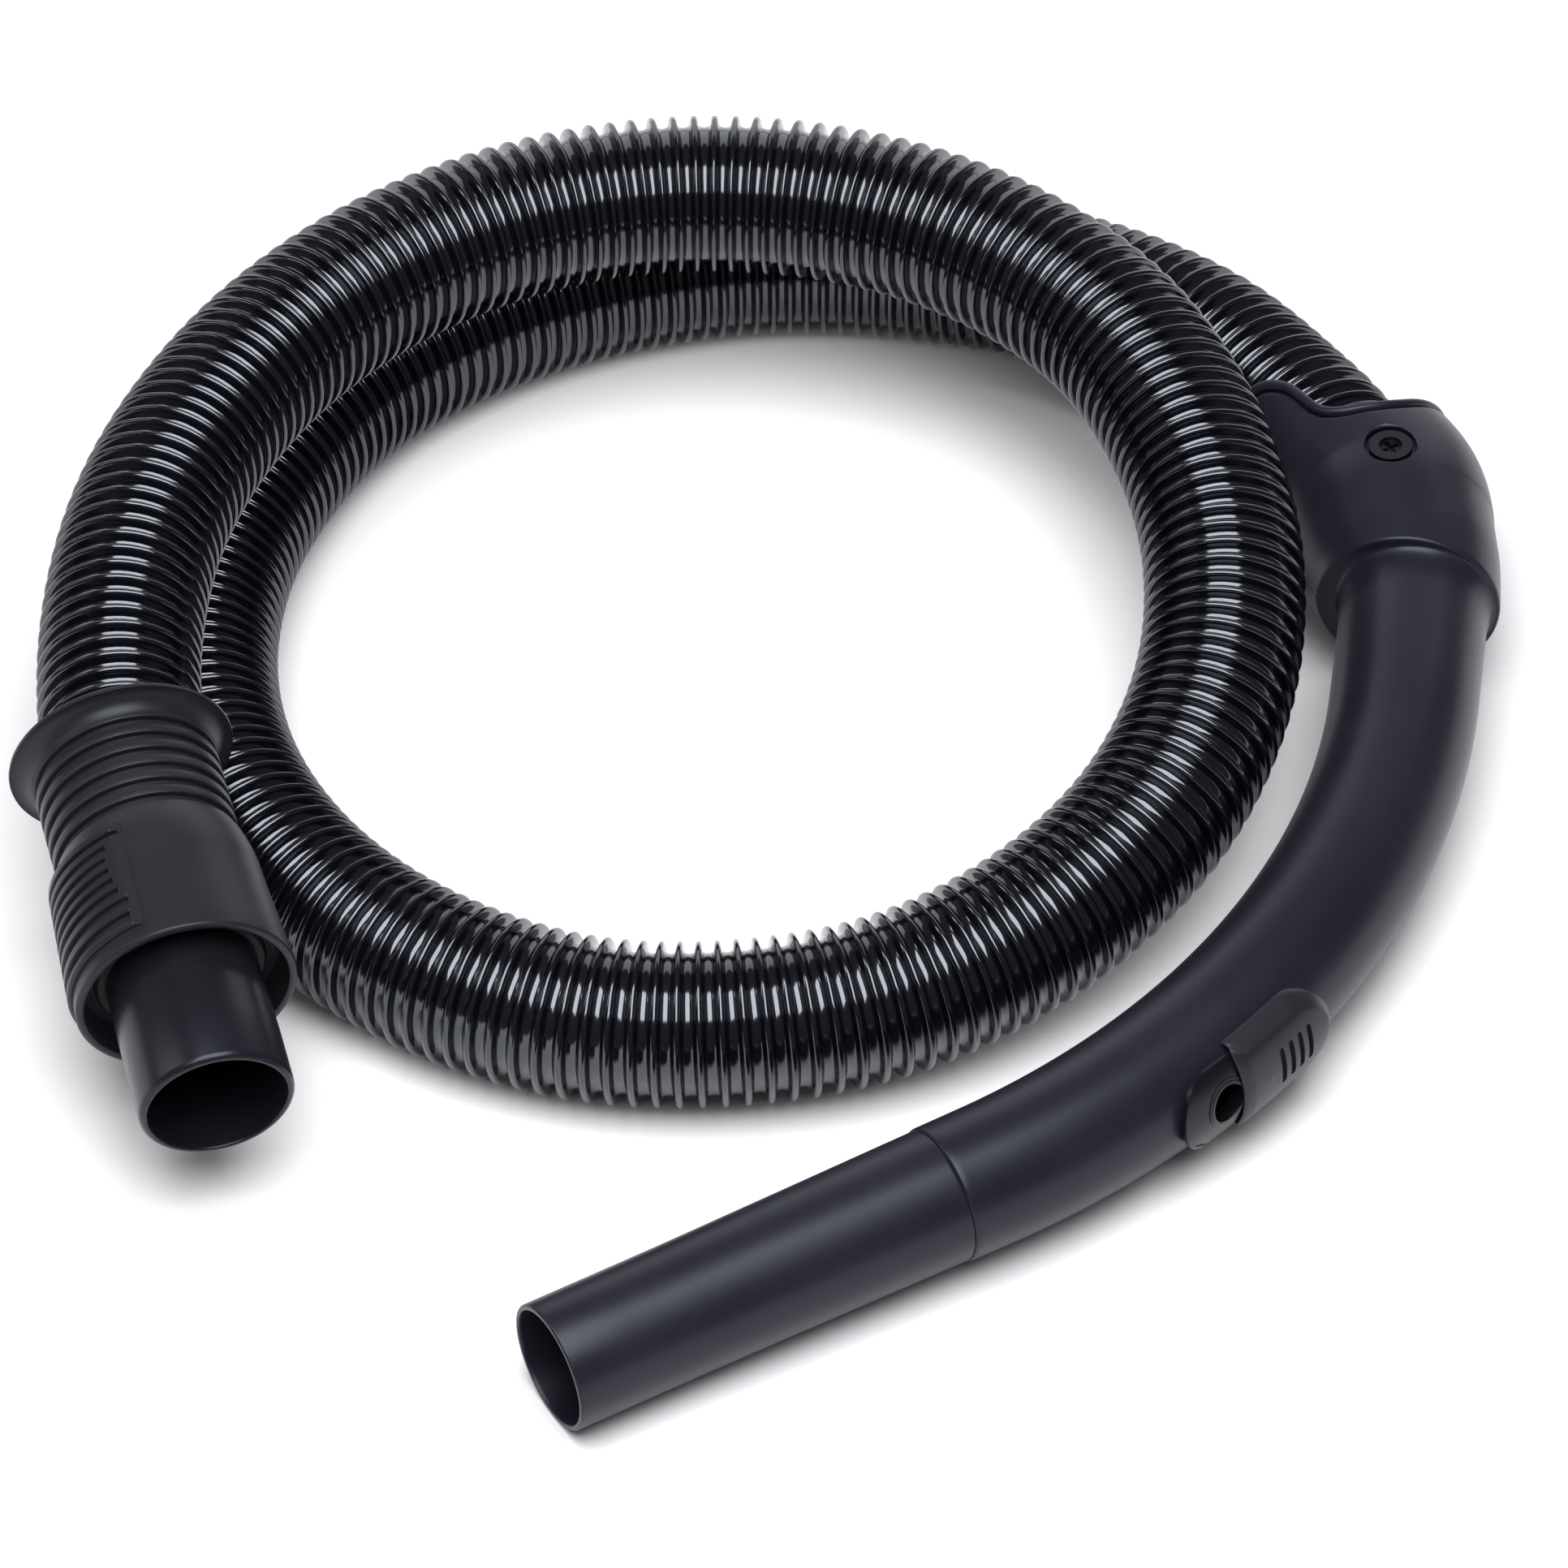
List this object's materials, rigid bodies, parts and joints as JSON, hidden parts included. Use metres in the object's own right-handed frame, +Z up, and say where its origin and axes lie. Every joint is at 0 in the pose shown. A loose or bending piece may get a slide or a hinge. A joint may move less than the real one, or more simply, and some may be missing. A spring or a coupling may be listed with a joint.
{
  "type": "vacuum cleaner suction hose",
  "caption": "Ribbed suction hose with a turning machine connector with a latch, and a turning bent handle with an air slider and a nose for wands.",
  "frame": {"origin": "on the floor, under the middle of the box of the rigid parts (the connector and the handle)", "axes": "+Z up from the floor the hose lies on, +X from the machine connector towards the handle's clamshell, -Y towards the handle's nose and the connector's spigot"},
  "size_m": [0.3645, 0.4276, 0.0828],
  "materials": {
    "hose": "gloss",
    "ferrule": "satin",
    "bearing": "natural, low friction",
    "connector": "satin moulded",
    "spigot": "semi-gloss",
    "seal": "soft",
    "latch": "satin moulded",
    "steel": "bright",
    "handle": "satin moulded",
    "screw": "dark zinc",
    "tube": "satin moulded",
    "seat": "satin",
    "slider": "satin moulded"
  },
  "bodies": {
    "hose_run": {"hose": "hose", "machine_ferrule": "ferrule", "handle_ferrule": "ferrule"},
    "connector": {"cuff": "connector", "machine_swivel_ring": "bearing", "spigot": "spigot", "spigot_seal": "seal", "latch_pin": "steel", "latch_spring": "steel"},
    "latch": {"latch": "latch"},
    "handle": {"shell_cover": "handle", "shell_base": "handle", "cover_screw": "screw", "tube_seal": "seal", "grip_tube": "tube", "nose_tube": "tube", "air_seat": "seat"},
    "air_slider": {"air_slider": "slider", "slider_spring": "steel"}
  },
  "joints": [
    {"name": "machine_swivel", "type": "hinge", "parent": "hose_run", "child": "connector", "pos_m": [-0.1555, 0.0145, 0.0558], "axis": [0.2537, -0.9534, -0.1633], "continuous": true},
    {"name": "latch_press", "type": "hinge", "parent": "connector", "child": "latch", "pos_m": [-0.16564, -0.0423, 0.04714], "axis": [-0.042, 0.1578, -0.9866], "range_deg": [0, 3], "stiffness_Nm_per_rad": 0.8, "springref_deg": -2.86},
    {"name": "handle_swivel", "type": "hinge", "parent": "hose_run", "child": "handle", "pos_m": [0.1415, 0.159, 0.0265], "axis": [-0.5, 0.866, 0], "continuous": true},
    {"name": "air_slide", "type": "hinge", "parent": "handle", "child": "air_slider", "pos_m": [-0.05561, 0.0931, 0.01984], "axis": [0.0283, 0.0163, -0.9995], "range_deg": [0, 2.96]}
  ]
}
